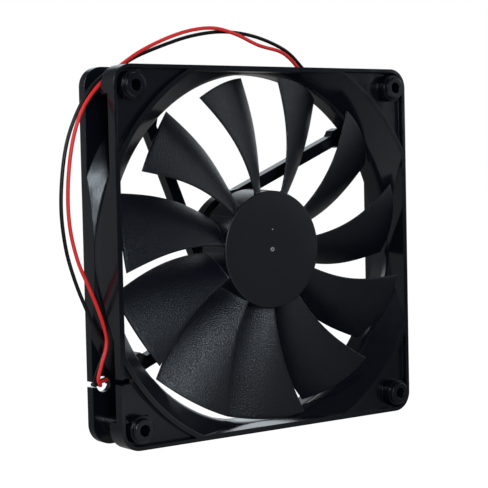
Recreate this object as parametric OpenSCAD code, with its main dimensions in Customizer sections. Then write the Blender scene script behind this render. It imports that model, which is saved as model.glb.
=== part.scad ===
// Square case fan: an open duct frame with four tangent struts, an eleven-blade impeller
// on a sleeve-bearing motor, and a two-wire lead with its connector.
// Row frame: origin under the frame's middle, +Z up, the intake faces -Y, millimetres.

/* [Frame] */
// Width and height of the square frame
frame_size = 140; // [115:1:170]
// Depth from the front rim to the back face
frame_depth = 24; // [22:0.5:32]
// Outer corner radius
corner_r = 7.5; // [6:0.5:9]
// Thickness of the front flange
front_flange_t = 4.0; // [3.4:0.1:5]
// Thickness of the back flange
back_flange_t = 3.9; // [3.4:0.1:5]
// Thinnest wall of the duct, at the middle of each side
side_wall = 2.4; // [2:0.1:4]
// Width of the bar that closes the flare along each side
side_bar = 2.0; // [1.5:0.1:3]
// Width of the raised rim around each front corner
rim_w = 1.45; // [1:0.05:2]
// Depth of the corner pockets below the front rim
pocket_depth = 2.2; // [1:0.1:3]

/* [Screw corners] */
// Distance of each screw hole from the two outer faces
hole_inset = 7.75; // [7:0.05:9]
// Diameter of the screw holes
hole_d = 4.3; // [3.5:0.1:4.8]
// Diameter of the round bosses on the front
boss_d = 8.9; // [8:0.1:10]
// Height of the bosses above the front rim
boss_h = 3.0; // [2:0.1:4]
// Diameter of the wider foot of each boss
boss_foot_d = 10.4; // [9.4:0.1:11]
// Height of that foot above the front rim
boss_foot_h = 1.5; // [0.5:0.1:1.8]
// Width of the deeper recess around each boss, from the outer faces
recess_w = 12.4; // [12:0.1:13.5]
// Depth of that recess below the corner pockets
recess_depth = 1.0; // [0.4:0.1:1.1]
// Diameter of the pillars between the flanges
pillar_d = 7.2; // [6.6:0.1:8.4]
// Side of the thick corner block behind the front flange
block_w = 10.5; // [9:0.5:13]
// Depth of that block
block_depth = 4.5; // [2:0.5:7]

/* [Duct] */
// Distance from the front rim to the throat
mouth_len = 11.7; // [8:0.1:14]
// Widening of the intake flare
mouth_flare = 8.6; // [5:0.1:10]
// Radius that eases the flare into the throat
throat_ease_r = 6; // [3:0.5:9]
// Length of the exhaust flare
exit_len = 5.5; // [3:0.5:7]
// Widening of the exhaust flare
exit_flare = 4.6; // [2:0.1:6]
// Wall left between the flare and the front pockets
lip_w = 1.9; // [1.6:0.1:4]
// Growth of the outer cone behind the front flange
front_cone_grow = 6.3; // [3:0.1:8]
// Length of the outer cone behind the front flange
front_cone_len = 9.4; // [6:0.1:10]
// Growth of the outer cone in front of the back flange
back_cone_grow = 6.1; // [3:0.1:8]
// Length of the outer cone in front of the back flange
back_cone_len = 3.9; // [2:0.1:6]

/* [Struts and motor base] */
// Width of each strut
strut_w = 4.5; // [3.5:0.1:6]
// Depth of each strut, from the back face
strut_depth = 4.6; // [3.6:0.1:6]
// Distance of each strut's middle line from the axis
strut_offset = 19.9; // [17:0.1:21]
// Angle of the first strut above level
strut_angle = 22.7; // [0:0.1:45]
// Width of the pad that joins a strut to the duct
strut_foot_w = 7.6; // [6:0.1:10]
// Length of that pad
strut_foot_len = 5; // [3:0.5:10]
// Length of the pad's sloping start
strut_foot_slope = 2.2; // [0.5:0.1:2.8]
// How far the cable strut's pad reaches past the strut, on its inner side
cable_foot_side = 2.6; // [0:0.1:3]
// Length of the cable strut's pad
cable_foot_len = 7; // [4:0.5:10]
// How far the motor base cup reaches past the hub
base_overhang = 0.1; // [0.1:0.1:2]
// Wall of the motor base cup
base_wall = 1.8; // [1.4:0.1:2.4]
// Floor of the motor base cup
base_floor = 1.8; // [1.4:0.1:2.4]
// Height of the motor base cup
base_h = 5.6; // [5:0.1:6.5]

/* [Impeller] */
// Number of blades
blade_count = 11; // [7:1:11]
// Running gap between the blade tips and the throat
tip_gap = 1.3; // [0.8:0.1:3]
// Radius of the hub at its face
hub_r = 22.6; // [21.6:0.1:28]
// Growth of the hub radius towards its open end
hub_draft = 0.6; // [0:0.1:0.8]
// Length of the hub
hub_len = 14.3; // [13:0.1:15]
// Thickness of the hub's face
hub_face_t = 1.8; // [1.4:0.1:2.2]
// Angle that one blade covers around the axis
blade_angle = 25.3; // [20:0.1:30]
// Angle of the first blade's leading root
blade_start = 108.7; // [90:0.1:120]
// Forward sweep of the tip
blade_sweep = 10.4; // [0:0.1:15]
// Distance of the leading edge behind the front rim at the root
blade_set_back = 0.8; // [0.5:0.1:3]
// Depth of a blade along the axis at the root
blade_depth = 12.6; // [9:0.1:13]
// Forward bow of the leading edge halfway out
blade_bow = 0.9; // [0:0.1:1.5]
// Loss of depth at the trailing tip
tip_cut = 1.0; // [0:0.1:2]
// Camber of a blade at its tip
blade_camber = 2.0; // [0:0.1:3]
// Greatest thickness of a blade
blade_t = 1.9; // [1.2:0.1:2.4]
// Thickness of a blade's edges
blade_edge_t = 0.8; // [0.5:0.1:1.2]

/* [Motor] */
// Wall of the steel rotor cup
yoke_t = 1.2; // [0.8:0.1:1.4]
// Radial thickness of the magnet ring
magnet_t = 1.9; // [1.4:0.1:2.2]
// Length of the magnet ring
magnet_len = 9.4; // [7:0.1:10]
// Gap between the magnet and the stator
air_gap = 0.5; // [0.3:0.1:0.8]
// Height of the stator's steel stack
stack_h = 6.0; // [4:0.1:6.5]
// Height of the stack's middle above the fan's middle plane
stack_mid = 1.2; // [0.8:0.1:1.4]
// Width of a stator pole's neck
pole_neck_w = 5.5; // [4:0.1:6]
// Radial depth of a pole shoe
shoe_t = 2.2; // [1.6:0.1:2.6]
// Thickness of the plastic insulators
insulator_t = 0.8; // [0.6:0.1:1]
// Thickness of the winding on a pole
winding_t = 1.5; // [1:0.1:1.6]
// Thickness of the circuit board
board_t = 1.0; // [0.8:0.1:1.6]
// Height of the board above the cup's floor
board_lift = 2.0; // [1.5:0.1:2.4]
// Shaft diameter
shaft_d = 3.0; // [2:0.1:3.2]
// Radial running clearance of the shaft in its bearing
shaft_clear = 0.02; // [0.01:0.01:0.04]
// Outer diameter of the sleeve bearing
bearing_d = 7.5; // [6:0.1:8]
// Length of the sleeve bearing
bearing_len = 11; // [8:0.5:12]
// Wall of the bearing holder tube
holder_wall = 0.85; // [0.6:0.05:1]

/* [Cable] */
// Outer diameter of each wire
wire_d = 1.4; // [1:0.1:1.6]
// Height of the back cable notch above the base
back_notch_z = 22.7; // [15:0.1:40]
// Height of the front cable notch above the base
front_notch_z = 25.6; // [15:0.1:40]
// Depth of the front cable notch
front_notch_depth = 6.0; // [3:0.1:6.2]
// Diameter of the round hole at the inner end of the back notch
back_hole_d = 6.0; // [4:0.1:6.4]
// Distance of that hole from the side of the frame
back_hole_in = 4.7; // [4.2:0.1:5]

/* [Hidden] */
$fn = 96;
seat = 0.03;          // clearance of a piece pressed or glued into another
eps = 0.01;           // how far two fused solids overlap
over = 1;             // how far a cutter runs past a face
edge_round = 0.5;     // bevel on the edge of a boss
half = frame_size / 2;
total_depth = frame_depth + boss_h;
boss_face = total_depth / 2;
back = -total_depth / 2;
rim = boss_face - boss_h;
hole_at = half - hole_inset;
throat_r = half - side_wall;
duct_inset = 0.1;
duct_out_r = half - duct_inset;
mouth_r = throat_r + mouth_flare;
lip_r = mouth_r + lip_w;
flange_back = rim - front_flange_t;
back_flange_front = back + back_flange_t;
floor_top = back + base_floor;
base_r = hub_r + hub_draft + base_overhang;
back_pocket_depth = 1.4;
back_lip_w = 3.3;
tip_r = throat_r - tip_gap;
hub_back = rim - hub_len;
// rotor stack, from the hub's outside inwards
hub_wall = 1.6;
hub_inner_r = hub_r - hub_wall;
yoke_r = hub_inner_r - seat;
magnet_r = yoke_r - yoke_t - seat;
magnet_in_r = magnet_r - magnet_t;
stator_r = magnet_in_r - air_gap;
yoke_top = rim - hub_face_t - seat;
yoke_inset = 0.8;
magnet_inset = 0.3;
yoke_back = hub_back + yoke_inset;
magnet_back = yoke_back + magnet_inset;
// bearing stack
shaft_r = shaft_d / 2;
holder_r = bearing_d / 2 + holder_wall;
stack_top = stack_mid + stack_h / 2;
stack_back = stack_mid - stack_h / 2;
seat_z = stack_back - insulator_t;
holder_rise = 1.4;    // how far the holder stands above the stack
washer_room = 1;      // how far the bearing is sunk below the holder's top
holder_top = stack_top + holder_rise;
holder_lift = 0.2;    // how far the holder's end is sunk below the back face
holder_back = back + holder_lift;
bearing_top = holder_top - washer_room;
bearing_back = bearing_top - bearing_len;
clip_t = 0.4;
clip_play = 0.6;
clip_w = 1.1;
groove_depth = 0.35;
shaft_tail = 1.4;     // length of shaft past the retaining ring
clip_top = bearing_back - clip_play;
shaft_end = clip_top - clip_t - shaft_tail;
thrust_t = 0.6;
thrust_clear = 0.06;
thrust_top = shaft_end - thrust_clear;
bush_wall = 1.6;
bush_r = shaft_r + bush_wall;
bush_overlap = 0.4;   // how far the bush reaches into the holder's top
bush_back = holder_top - bush_overlap;
board_back = floor_top + board_lift;
board_top = board_back + board_t;
board_clear = 0.7;
post_r = 1.4;
post_inset = 2.2;
board_r = base_r - base_wall - board_clear;
boss_wall = 1.8;
boss_out_r = holder_r + boss_wall;
core_wall = 3.4;      // radial depth of the stator's middle
neck_in_r = holder_r + core_wall;
coil_clear = 0.3;
coil_clear_out = 0.1;
insulator_lap = 0.5;  // how far an insulator is wider than the steel on each side
coil_room = 0.05;     // clearance of a winding around its insulators
coil_in_r = neck_in_r + coil_clear;
coil_inner_w = pole_neck_w + 2 * insulator_lap + 2 * coil_room;
coil_half_w = coil_inner_w / 2 + winding_t;
coil_out_r = sqrt((stator_r - shoe_t) * (stator_r - shoe_t) - coil_half_w * coil_half_w) - coil_clear_out;
pin_r = 0.35;
pin_inset = 0.9;
pin_at = neck_in_r + pin_inset;
wire_r = wire_d / 2;
wire_gap = 0.15;
wire_step = wire_d + wire_gap;
lead_end_gap = 0.1;
channel_side = 0.3;
channel_room = 0.25;
channel_top = 0.1;
channel_w = wire_d + 2 * channel_side;
channel_depth = 2 * wire_d + wire_gap + channel_room;
lead_top_z = back + channel_depth - channel_top - wire_r;
notch_side = 0.35;
notch_room = 0.3;
notch_lip = 0.15;
notch_w = wire_d + 2 * notch_side;
back_notch_depth = 2 * wire_d + wire_gap + notch_room + notch_lip;

// Straight run of the cable strut and its turn to the notch
cable_dir = [cos(strut_angle + 180), sin(strut_angle + 180)];
cable_side = [-cable_dir[1], cable_dir[0]];
function on_strut(t, shift) = strut_offset * cable_side + t * cable_dir + shift * cable_side;
pad_t = 2;
base_step = 0.6;      // the cup's upper wall is this much inside its floor
turn_t = sqrt(throat_r * throat_r - strut_offset * strut_offset) - 1;
notch_y = back_notch_z - half;
red_x = -half + back_notch_depth - notch_room - wire_r;
black_x = red_x - wire_step;

// Wire routes from the back notch to the connector, row coordinates
red_route = [
  [-67.6, 9.6, 22.7], [-67.8, 7.8, 22.7], [-69.2, 5.4, 23.2], [-71, 3.6, 25.8], [-69.8, 3, 31],
  [-67.8, 3, 36.5], [-67.6, 3, 41.5], [-70.3, 2.8, 50], [-74.5, 2.5, 59.5], [-79.2, 2, 69.5],
  [-82.4, 1.5, 82], [-83, 1, 96], [-81.2, 0.5, 111], [-77.4, 0.2, 122.5], [-72.4, 0, 129.8],
  [-66.4, 0, 135.3], [-58.6, 0, 141], [-50, 0, 146], [-38, 0, 151], [-27, 0.2, 154],
  [-17, 0.2, 154.8], [-7, 0.5, 152.8], [4, 1, 149], [14.5, 1.6, 147], [20, 2, 144.4],
  [25, 2.2, 140.2], [30, 3, 137], [37, 3.4, 134.6], [45, 3.4, 130.6], [53.7, 3.4, 123.7],
  [62, 3.4, 112], [69.8, 3.4, 91], [71.6, 3.4, 72], [70.3, 3.4, 50], [64, 3.4, 31],
  [58, 3.4, 18], [55, 3.1, 6.2], [52, 2.9, 2.7], [49, 2.9, 2.7], [46.5, 2.9, 2.7]];
black_route = [
  [-69.15, 9.6, 22.7], [-69.2, 8.6, 22.8], [-70.2, 7.4, 25], [-69.2, 6, 29.5], [-67.4, 5, 35],
  [-68, 4.6, 39.5], [-71, 4.2, 43.5], [-75.8, 3.8, 53], [-80, 3.5, 63], [-83.4, 3, 74],
  [-85.1, 2.6, 87], [-84.6, 2.2, 100], [-82.4, 2, 112], [-78.4, 1.8, 122], [-72.6, 1.7, 131],
  [-66, 1.6, 136.6], [-58, 1.6, 140.6], [-50, 1.7, 144.4], [-36, 1.8, 149.3], [-26, 1.9, 152],
  [-15.5, 1.9, 153.6], [-6, 2, 153.6], [4, 2.2, 152.2], [14, 2.8, 149.4], [21.5, 3.4, 146],
  [28.5, 4, 140.4], [33, 4.6, 137], [40, 5, 134], [48, 5, 129], [55.4, 5, 122],
  [64, 5, 108], [70.4, 5, 88], [71.6, 5, 68], [70, 5, 48], [64, 5, 31],
  [58.4, 5.1, 17], [55.4, 5.3, 6], [52, 5.5, 2.7], [49, 5.5, 2.7], [46.5, 5.5, 2.7]];

// Connector, lying between the flanges on the base line
plug_face_x = 48.5;
plug_len = 12.7;
plug_w = 5.6;
plug_h = 4.9;
plug_y = 4.2;
plug_z = 0.25;
cavity = wire_d + 0.5;
wire_in = 2;          // how far each wire reaches into the connector
end_wall = 1;
key_w = 2.6;
key_len = 6;
key_h = 0.7;
key_inset = 1;
window_w = 1.2;
window_len = 2.4;
window_at = 6;
pin_hole_w = 0.8;
terminal_len = 8.6;
terminal_clear = 0.15;
crimp_len = 3;
terminal_t = 0.25;

function unit(v) = v / norm(v);
function curve(a, b, c, d, t) =
  0.5 * (2 * b + (c - a) * t + (2 * a - 5 * b + 4 * c - d) * t * t + (3 * b - a - 3 * c + d) * t * t * t);
function clamp_at(list, i) = list[max(0, min(len(list) - 1, i))];
function smooth_route(list, steps) = concat(
  [for (i = [0:len(list) - 2]) for (s = [0:steps - 1])
    curve(clamp_at(list, i - 1), list[i], list[i + 1], clamp_at(list, i + 2), s / steps)],
  [list[len(list) - 1]]);

module placed() {
  translate([0, 0, half]) rotate([90, 0, 0]) children();
}

module at_corners(distance) {
  for (x = [-1, 1], y = [-1, 1]) translate([x * distance, y * distance, 0]) children();
}

module ring(outer, inner, h) {
  difference() {
    cylinder(r = outer, h = h);
    translate([0, 0, -over]) cylinder(r = inner, h = h + 2 * over);
  }
}

module rounded_plate(size, r, h) {
  translate([-size / 2 + r, -size / 2, 0]) cube([size - 2 * r, size, h]);
  translate([-size / 2, -size / 2 + r, 0]) cube([size, size - 2 * r, h]);
  at_corners(size / 2 - r) cylinder(r = r, h = h);
}

module rounded_bar(w, h, r, length) {
  rotate([90, 0, 90]) {
    translate([-w / 2 + r, -h / 2, 0]) cube([w - 2 * r, h, length]);
    translate([-w / 2, -h / 2 + r, 0]) cube([w, h - 2 * r, length]);
    for (x = [-1, 1], y = [-1, 1])
      translate([x * (w / 2 - r), y * (h / 2 - r), 0]) cylinder(r = r, h = length, $fn = 32);
  }
}

// ---- Frame: one moulding with its duct, flanges, struts and motor base ----

throat_front = rim - mouth_len;
ease_angle = 45;
ease_end = throat_front + throat_ease_r * sin(ease_angle);
ease_out = throat_r + throat_ease_r * (1 - cos(ease_angle));
cone_slope = (mouth_r - ease_out) / (rim - ease_end);
ease_steps = 5;

module air_profile() {
  polygon(concat(
    [[0, back - over], [throat_r + exit_flare * (1 + over / exit_len), back - over]],
    [[throat_r, back + exit_len]],
    [for (i = [0:ease_steps]) let (a = ease_angle * i / ease_steps)
      [throat_r + throat_ease_r * (1 - cos(a)), throat_front + throat_ease_r * sin(a)]],
    [[mouth_r + over * cone_slope, rim + over], [0, rim + over]]));
}

module air_passage() {
  intersection() {
    rotate_extrude($fn = 180) air_profile();
    opening = frame_size - 2 * side_bar;
    translate([-opening / 2, -opening / 2, back - 2 * over]) cube([opening, opening, total_depth + 4 * over]);
  }
}

module duct_wall() {
  intersection() {
    rotate_extrude($fn = 180) polygon([
      [throat_r - 1, back + eps], [duct_out_r + back_cone_grow, back + eps],
      [duct_out_r + back_cone_grow, back_flange_front],
      [duct_out_r, back_flange_front + back_cone_len],
      [duct_out_r, flange_back - front_cone_len],
      [duct_out_r + front_cone_grow, flange_back],
      [duct_out_r + front_cone_grow, flange_back + eps], [throat_r - 1, flange_back + eps]]);
    translate([-half, -half, back]) cube([frame_size, frame_size, total_depth]);
  }
}

module front_pocket() {
  difference() {
    translate([0, 0, rim - pocket_depth]) rounded_plate(frame_size - 2 * rim_w, corner_r - rim_w, pocket_depth + over);
    translate([0, 0, rim - pocket_depth - over]) cylinder(r = lip_r, h = pocket_depth + 3 * over, $fn = 180);
    boss_room(rim - pocket_depth);
  }
  // deeper recess around each boss
  difference() {
    intersection() {
      translate([0, 0, rim - pocket_depth - recess_depth])
        rounded_plate(frame_size - 2 * rim_w, corner_r - rim_w, recess_depth + over);
      at_corners(half - recess_w / 2)
        translate([-recess_w / 2, -recess_w / 2, rim - pocket_depth - recess_depth - over])
          cube([recess_w, recess_w, recess_depth + 3 * over]);
    }
    boss_room(rim - pocket_depth - recess_depth);
  }
}

module boss_room(floor_z) {
  translate([0, 0, floor_z - over]) at_corners(hole_at) cylinder(d = boss_foot_d, h = pocket_depth + 3 * over);
}

// Raised ring at each screw hole: a wider foot, then the ring with its bevelled edge
module boss() {
  floor_z = rim - pocket_depth - recess_depth - eps;
  translate([0, 0, floor_z]) cylinder(d = boss_foot_d, h = rim + boss_foot_h - floor_z);
  translate([0, 0, rim + boss_foot_h - over]) cylinder(d = boss_d, h = boss_h - boss_foot_h - edge_round + over);
  translate([0, 0, boss_face - edge_round]) cylinder(d1 = boss_d, d2 = boss_d - 2 * edge_round, h = edge_round);
}

module back_pocket() {
  back_lip_r = throat_r + exit_flare + back_lip_w;
  difference() {
    translate([0, 0, back - over]) rounded_plate(frame_size - 2 * rim_w, corner_r - rim_w, back_pocket_depth + over);
    translate([0, 0, back - 2 * over]) cylinder(r = back_lip_r, h = back_pocket_depth + 3 * over, $fn = 180);
    translate([0, 0, back - 2 * over]) at_corners(hole_at) cylinder(d = boss_d, h = back_pocket_depth + 3 * over);
    cable_land();
  }
}

// Solid land that carries the cable channel from its strut to the back notch
module cable_land() {
  land_wall = 1.2;
  land_w = channel_w + 2 * land_wall;
  start = on_strut(turn_t, 0);
  run = [-half, notch_y] - start;
  translate([start[0], start[1], back - 2 * over]) rotate(atan2(run[1], run[0]))
    translate([0, -land_w / 2, 0]) cube([norm(run) + over, land_w, strut_depth + over]);
}

module corner_block() {
  intersection() {
    rounded_plate(frame_size, corner_r, block_depth);
    at_corners(half - block_w / 2) translate([-block_w / 2, -block_w / 2, -over])
      cube([block_w, block_w, block_depth + 2 * over]);
  }
}

// Struts and the motor base's floor in one plan, with the cup's upper wall on top
module spider() {
  reach = throat_r + side_wall / 2;
  duct_at = sqrt(throat_r * throat_r - strut_offset * strut_offset);
  foot_at = duct_at - strut_foot_len;
  cable_foot_at = duct_at - cable_foot_len;
  // the pad's slope, carried back to the strut's middle line
  slope_run = strut_foot_slope * strut_w / (strut_foot_w - strut_w);
  translate([0, 0, back]) linear_extrude(height = strut_depth) intersection() {
    circle(r = reach, $fn = 180);
    union() {
      rotate(strut_angle) circle(r = base_r);
      for (k = [0:3]) rotate(strut_angle + 90 * k) translate([0, strut_offset]) {
        translate([0, -strut_w / 2]) square([reach, strut_w]);
        if (k != 2) polygon([
          [foot_at - slope_run, 0], [foot_at + strut_foot_slope, strut_foot_w / 2], [reach, strut_foot_w / 2],
          [reach, -strut_foot_w / 2], [foot_at + strut_foot_slope, -strut_foot_w / 2]]);
        if (k == 2) polygon([
          [cable_foot_at, 0], [reach, 0], [reach, -strut_w / 2 - cable_foot_side],
          [cable_foot_at + strut_foot_slope, -strut_w / 2 - cable_foot_side], [cable_foot_at, -strut_w / 2]]);
      }
    }
  }
  translate([0, 0, back + strut_depth - over]) rotate(strut_angle)
    cylinder(r = base_r - base_step, h = base_h - strut_depth + over);
}

module base_hollow() {
  difference() {
    translate([0, 0, floor_top]) cylinder(r = base_r - base_wall, h = base_h);
    translate([0, 0, floor_top - over]) cylinder(r = boss_out_r, h = base_h + 2 * over);
    for (a = [45:90:315]) rotate(a) translate([board_r - post_inset, 0, floor_top - over])
      cylinder(r = post_r, h = board_lift + over);
  }
}

module cable_cuts() {
  // channel in the back of the strut, open into the cup at its inner end
  in_t = pad_t - wire_r - 2 * channel_side;
  turn = on_strut(turn_t, 0);
  run = unit([red_x, notch_y] - turn);
  run_side = [-run[1], run[0]];
  mitre = unit(cable_side + run_side);
  turn_w = mitre * (channel_w / 2) / (mitre * cable_side);
  finish = [red_x, notch_y];
  translate([0, 0, back - over]) linear_extrude(height = channel_depth + over) polygon([
    on_strut(in_t, -channel_w / 2), turn - turn_w, finish - run_side * channel_w / 2,
    finish + run_side * channel_w / 2, turn + turn_w, on_strut(in_t, channel_w / 2)]);
  // back and front notches
  translate([-half - over, notch_y - notch_w / 2, back - over])
    cube([back_notch_depth + over, notch_w, back_flange_t + 2 * over]);
  translate([-half - over, front_notch_z - half - notch_w / 2, flange_back - over])
    cube([front_notch_depth + over, notch_w, front_flange_t + 2 * over]);
  translate([-half + back_hole_in, notch_y, back - over]) cylinder(d = back_hole_d, h = back_flange_t + 2 * over);
}

module frame() {
  color([0.10, 0.10, 0.11]) placed() difference() {
    union() {
      difference() {
        union() {
          translate([0, 0, flange_back]) rounded_plate(frame_size, corner_r, front_flange_t);
          translate([0, 0, back]) rounded_plate(frame_size, corner_r, back_flange_t);
          translate([0, 0, flange_back - block_depth]) corner_block();
          at_corners(hole_at) translate([0, 0, back + eps]) cylinder(d = pillar_d, h = frame_depth - 2 * eps);
          duct_wall();
        }
        air_passage();
        front_pocket();
        back_pocket();
      }
      at_corners(hole_at) boss();
      difference() {
        union() {
          spider();
          translate([0, 0, back]) cylinder(r = boss_out_r, h = seat_z - back);
        }
        base_hollow();
      }
    }
    at_corners(hole_at) translate([0, 0, back - over]) cylinder(d = hole_d, h = total_depth + 2 * over);
    translate([0, 0, back - over]) cylinder(r = holder_r + seat, h = total_depth);
    cable_cuts();
  }
}

// ---- Bearing ----

module bearing_holder() {
  color([0.78, 0.62, 0.30]) placed() difference() {
    translate([0, 0, holder_back]) cylinder(r = holder_r, h = holder_top - holder_back);
    translate([0, 0, back - over]) cylinder(d = bearing_d + 2 * seat, h = total_depth);
  }
}

module sleeve_bearing() {
  oil_groove_r = 0.4;
  color([0.62, 0.42, 0.24]) placed() difference() {
    translate([0, 0, bearing_back]) cylinder(d = bearing_d, h = bearing_len);
    translate([0, 0, bearing_back - over]) cylinder(r = shaft_r + shaft_clear, h = bearing_len + 2 * over);
    for (a = [0:120:240]) rotate(a) translate([bearing_d / 2, 0, bearing_back - over])
      cylinder(r = oil_groove_r, h = bearing_len + 2 * over, $fn = 24);
  }
}

module thrust_plate() {
  color([0.92, 0.92, 0.90]) placed() translate([0, 0, thrust_top - thrust_t])
    cylinder(d = bearing_d - 2 * seat, h = thrust_t);
}

module bearing_cap() {
  dish_depth = 0.3;
  cap_rim = 0.8;
  color([0.08, 0.08, 0.08]) placed() translate([0, 0, holder_back]) difference() {
    cylinder(d = bearing_d - 2 * seat, h = thrust_top - thrust_t - holder_back);
    translate([0, 0, -over]) cylinder(d = bearing_d - 2 * cap_rim, h = over + dish_depth);
  }
}

module oil_washer() {
  washer_t = 0.35;
  washer_clear = 0.25;
  color([0.85, 0.80, 0.70]) placed() translate([0, 0, bearing_top + seat])
    ring(bearing_d / 2 - seat, shaft_r + washer_clear, washer_t);
}

// ---- Stator: four salient poles, their insulators and windings ----

module pole_plate(h, neck_w, grow) {
  slot_w = 2.8;
  difference() {
    cylinder(r = stator_r - grow, h = h);
    difference() {
      translate([0, 0, -over]) cylinder(r = stator_r - shoe_t + grow, h = h + 2 * over);
      translate([0, 0, -2 * over]) cylinder(r = neck_in_r, h = h + 4 * over);
      for (a = [0, 90]) rotate(a) translate([-stator_r, -neck_w / 2, -2 * over])
        cube([2 * stator_r, neck_w, h + 4 * over]);
    }
    for (a = [45:90:315]) rotate(a) translate([neck_in_r + over, -slot_w / 2, -over])
      cube([stator_r, slot_w, h + 2 * over]);
    translate([0, 0, -over]) cylinder(r = holder_r + seat, h = h + 2 * over);
  }
}

module stator_core() {
  color([0.55, 0.56, 0.58]) placed() translate([0, 0, stack_back]) pole_plate(stack_h, pole_neck_w, 0);
}

insulator_inset = 0.4;
collar_h = 0.6;
pin_post_r = 1.1;
pin_post_h = 1.2;

module front_insulator() {
  color([0.93, 0.91, 0.84]) placed() translate([0, 0, stack_top]) {
    pole_plate(insulator_t, pole_neck_w + 2 * insulator_lap, insulator_inset);
    translate([0, 0, eps]) ring(neck_in_r, holder_r + over, insulator_t + collar_h);
  }
}

module back_insulator() {
  color([0.93, 0.91, 0.84]) placed() difference() {
    union() {
      translate([0, 0, seat_z]) pole_plate(insulator_t, pole_neck_w + 2 * insulator_lap, insulator_inset);
      for (a = [45:90:225]) rotate(a) translate([pin_at, 0, seat_z - pin_post_h])
        cylinder(r = pin_post_r, h = insulator_t + pin_post_h);
    }
    for (a = [45:90:225]) rotate(a) translate([pin_at, 0, seat_z - 2 * pin_post_h])
      cylinder(r = pin_r + seat, h = insulator_t + 3 * pin_post_h);
  }
}

module coil(k) {
  inner_h = stack_h + 2 * insulator_t + 2 * coil_room;
  length = coil_out_r - coil_in_r;
  coil_round = 1.4;
  coil_inner_round = 0.2;
  color([0.72, 0.36, 0.18]) placed() rotate(90 * k) translate([coil_in_r, 0, stack_mid]) difference() {
    rounded_bar(coil_inner_w + 2 * winding_t, inner_h + 2 * winding_t, coil_round, length);
    translate([-over, 0, 0]) rounded_bar(coil_inner_w, inner_h, coil_inner_round, length + 2 * over);
  }
}

module coil_1() { coil(0); }
module coil_2() { coil(1); }
module coil_3() { coil(2); }
module coil_4() { coil(3); }

// ---- Circuit board and what is soldered to it ----

module circuit_board() {
  hole_clear = 0.2;
  key_notch_r = 1.5;
  color([0.04, 0.06, 0.05]) placed() difference() {
    translate([0, 0, board_back]) cylinder(r = board_r, h = board_t);
    translate([0, 0, board_back - over]) cylinder(r = boss_out_r + hole_clear, h = board_t + 2 * over);
    for (a = [45:90:225]) rotate(a) translate([pin_at, 0, board_back - over])
      cylinder(r = pin_r + 2 * seat, h = board_t + 2 * over, $fn = 24);
    rotate(200) translate([board_r, 0, board_back - over]) cylinder(r = key_notch_r, h = board_t + 2 * over);
  }
}

module on_board(angle, distance) {
  placed() rotate(angle) translate([distance, 0, board_top]) children();
}

module hall_sensor() {
  body_t = 1.6;
  body_w = 4;
  body_h = 2.8;
  leg_h = 1.4;
  leg_w = 0.4;
  leg_pitch = 1.3;
  color([0.12, 0.12, 0.13]) on_board(68, magnet_r - magnet_t / 2 - leg_w) {
    translate([-body_t / 2, -body_w / 2, leg_h]) cube([body_t, body_w, body_h]);
    for (y = [-leg_pitch, 0, leg_pitch]) translate([-leg_w / 2, y - leg_w / 2, 0]) cube([leg_w, leg_w, leg_h + eps]);
  }
}

module driver_chip() {
  chip_len = 4.8;
  chip_w = 4;
  chip_h = 1.5;
  chip_lift = 0.15;
  leg_w = 0.4;
  leg_len = 0.7;
  leg_pitch = 1.2;
  color([0.09, 0.09, 0.10]) on_board(315, 14.5) {
    translate([-chip_len / 2, -chip_w / 2, chip_lift]) cube([chip_len, chip_w, chip_h]);
    for (k = [-1.5:1:1.5], y = [-chip_w / 2 - leg_len, chip_w / 2])
      translate([k * leg_pitch - leg_w / 2, y, 0]) cube([leg_w, leg_len, leg_len]);
  }
}

module capacitor() {
  can_r = 2;
  can_h = 3.2;
  top_r = 1.6;
  top_h = 0.2;
  color([0.16, 0.18, 0.30]) on_board(135, 15.5) {
    cylinder(r = can_r, h = can_h, $fn = 48);
    translate([0, 0, can_h - eps]) cylinder(r = top_r, h = top_h, $fn = 48);
  }
}

module board_pins() {
  tail = 0.7;
  color([0.80, 0.80, 0.78]) placed() for (a = [45:90:225]) rotate(a)
    translate([pin_at, 0, board_back - tail]) cylinder(r = pin_r, h = seat_z - board_back + tail);
}

// ---- Leads in the strut channel ----

// Each corner of a lead is two points close together, so its bend stays inside the channel.
// level 0 runs along the channel's floor and level 1 below it; both reach the notch at red_x.
module lead(level, notch_x) {
  bend = wire_d;
  lie_z = lead_top_z - level * wire_step;
  pad_z = board_back - lead_end_gap;
  end_z = -red_route[0][1] - lead_end_gap;
  rise = min(bend, (pad_z - lie_z) / 2);
  leave = min(bend, (end_z - lie_z) / 2);
  rise_t = pad_t + (1 - level) * wire_step;
  pad = on_strut(rise_t, 0);
  along = on_strut(rise_t + bend, 0);
  turn_in = on_strut(turn_t - bend, 0);
  turn = on_strut(turn_t, 0);
  last_run = unit([red_x, notch_y] - turn);
  turn_out = turn + bend * last_run;
  notch_in = [red_x, notch_y] - bend * last_run;
  placed() sweep(concat(
    [[pad[0], pad[1], pad_z], [pad[0], pad[1], lie_z + rise], [along[0], along[1], lie_z]],
    [[turn_in[0], turn_in[1], lie_z], [turn_out[0], turn_out[1], lie_z], [notch_in[0], notch_in[1], lie_z]],
    level == 0 ? [] : [[notch_x + bend, notch_y, lie_z]],
    [[notch_x, notch_y, lie_z + leave], [notch_x, notch_y, end_z]]), 1);
}

module red_lead() { color([0.75, 0.08, 0.08]) lead(0, red_x); }
module black_lead() { color([0.06, 0.06, 0.06]) lead(1, black_x); }

// ---- Impeller: hub cup and swept, cambered blades ----

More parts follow.
